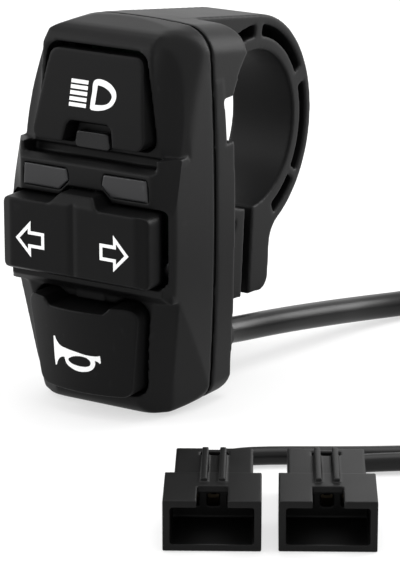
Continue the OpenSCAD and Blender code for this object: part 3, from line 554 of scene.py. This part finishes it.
def finish(name, dark, light, rough, spread, bump, fineness, specular=0.5, metal=0.0):
    made = bpy.data.materials.new(name)
    made.use_nodes = True
    tree = made.node_tree
    bsdf = tree.nodes["Principled BSDF"]
    place = tree.nodes.new("ShaderNodeTexCoord")
    grain = tree.nodes.new("ShaderNodeGroup")
    grain.node_tree = grain_group
    grain.inputs["Fineness"].default_value = fineness
    edge = tree.nodes.new("ShaderNodeGroup")
    edge.node_tree = edge_highlight_group
    tone = tree.nodes.new("ShaderNodeMix")
    tone.data_type = "RGBA"
    tone.inputs["A"].default_value = (*dark, 1)
    tone.inputs["B"].default_value = (*light, 1)
    share = tree.nodes.new("ShaderNodeMath")
    share.operation = "MULTIPLY_ADD"
    share.use_clamp = True
    share.inputs[1].default_value = patch_share
    dull = tree.nodes.new("ShaderNodeMapRange")
    dull.inputs["To Min"].default_value = rough - spread
    dull.inputs["To Max"].default_value = rough + spread
    relief = tree.nodes.new("ShaderNodeBump")
    relief.inputs["Strength"].default_value = bump
    relief.inputs["Distance"].default_value = grain_depth
    tree.links.new(place.outputs["Object"], grain.inputs["Place"])
    tree.links.new(grain.outputs["Patch"], edge.inputs["Patch"])
    tree.links.new(grain.outputs["Patch"], share.inputs[0])
    # The edge output adds the painted highlight on raised edges to the colour, on top of the random tone of the
    # patches.
    tree.links.new(edge.outputs["Edge"], share.inputs[2])
    tree.links.new(share.outputs[0], tone.inputs["Factor"])
    tree.links.new(tone.outputs["Result"], bsdf.inputs["Base Color"])
    tree.links.new(grain.outputs["Patch"], dull.inputs["Value"])
    tree.links.new(dull.outputs[0], bsdf.inputs["Roughness"])
    tree.links.new(grain.outputs["Height"], relief.inputs["Height"])
    tree.links.new(relief.outputs[0], bsdf.inputs["Normal"])
    bsdf.inputs["Metallic"].default_value = metal
    bsdf.inputs["Specular IOR Level"].default_value = specular
    return made

# %% [markdown]
# ## The table of finishes
# One row for each material of the real part. A row holds the darkest and the lightest tone, the roughness and
# how far it strays, the strength and the fineness of the grain, the specular level, and how metallic it is.
# The headlamp's window is smoked more deeply than the two for the turn signals, so it has a row of its own.

# %% The finishes
rows = {
    "housing": ("moulded_black", (0.003, 0.003, 0.0031), (0.008, 0.008, 0.0083), 0.48, 0.05, 0.35, 5200, 0.12),
    "button": ("button_black", (0.0026, 0.0026, 0.0027), (0.007, 0.007, 0.0073), 0.46, 0.05, 0.25, 6500, 0.09),
    "seal": ("rubber_black", (0.008, 0.008, 0.008), (0.02, 0.02, 0.02), 0.7, 0.08, 0.4, 3000, 0.2),
    "board": ("board_green", (0.004, 0.016, 0.009), (0.01, 0.035, 0.018), 0.4, 0.1, 0.2, 2500, 0.3),
    "lens": ("smoked_lens", (0.018, 0.018, 0.019), (0.04, 0.04, 0.042), 0.26, 0.06, 0.1, 1500, 0.28),
    "deep_lens": ("deep_smoked_lens", (0.005, 0.005, 0.0053), (0.013, 0.013, 0.0136), 0.26, 0.06, 0.1, 1500,
        0.22),
    "led": ("lamp_clear", (0.6, 0.6, 0.55), (0.75, 0.75, 0.7), 0.2, 0.05, 0.1, 2000),
    "switch_body": ("switch_black", (0.02, 0.02, 0.02), (0.05, 0.05, 0.05), 0.55, 0.1, 0.3, 4000, 0.3),
    "stem": ("stem_ivory", (0.52, 0.5, 0.44), (0.66, 0.64, 0.58), 0.5, 0.1, 0.2, 4000),
    "steel": ("plated_steel", (0.42, 0.42, 0.44), (0.6, 0.6, 0.62), 0.33, 0.1, 0.2, 3500, 0.5, 1.0),
    "black_screw": ("black_oxide", (0.02, 0.02, 0.021), (0.07, 0.07, 0.07), 0.42, 0.1, 0.3, 3500, 0.3, 0.8),
    "wire": ("wire_red", (0.25, 0.02, 0.015), (0.4, 0.05, 0.03), 0.45, 0.08, 0.2, 3000, 0.4),
    "jacket": ("jacket_black", (0.003, 0.003, 0.003), (0.01, 0.01, 0.01), 0.34, 0.06, 0.3, 3500, 0.2),
    "tie": ("tie_black", (0.01, 0.01, 0.01), (0.025, 0.025, 0.025), 0.5, 0.08, 0.3, 4000, 0.3),
    "connector": ("connector_black", (0.004, 0.004, 0.004), (0.012, 0.012, 0.012), 0.42, 0.06, 0.25, 5000, 0.1),
    # Painted shade: the brass contacts are coloured far darker than brass, for the shade inside the connector.
    "contact": ("contact_bronze", (0.045, 0.036, 0.024), (0.08, 0.064, 0.042), 0.4, 0.08, 0.15, 4000, 0.3, 1.0),
    "ink": ("white_ink", (0.78, 0.78, 0.78), (0.9, 0.9, 0.9), 0.5, 0.05, 0.1, 4000, 0.3),
}
finish_of = {slot: finish(*row) for slot, row in rows.items()}
print("finishes:", len(finish_of))

# %% Every piece gets its finish
def wear(piece, slot):
    piece.data.materials.clear()
    piece.data.materials.append(finish_of[slot])

for name, thing in nodes.items():
    wear(thing, slot_of[name])
for piece in (front, rear, lamp_button, rocker, horn, *windows, *plugs):
    wear(piece, slot_of[piece.name.removeprefix(prefix)])
wear(windows[0], "deep_lens")
for cable in (lead, left_tail, right_tail):
    wear(cable, "jacket")
for mark in marks:
    wear(mark, "ink")
print("dressed:", len(nodes), "solids and", len(marks), "symbols")
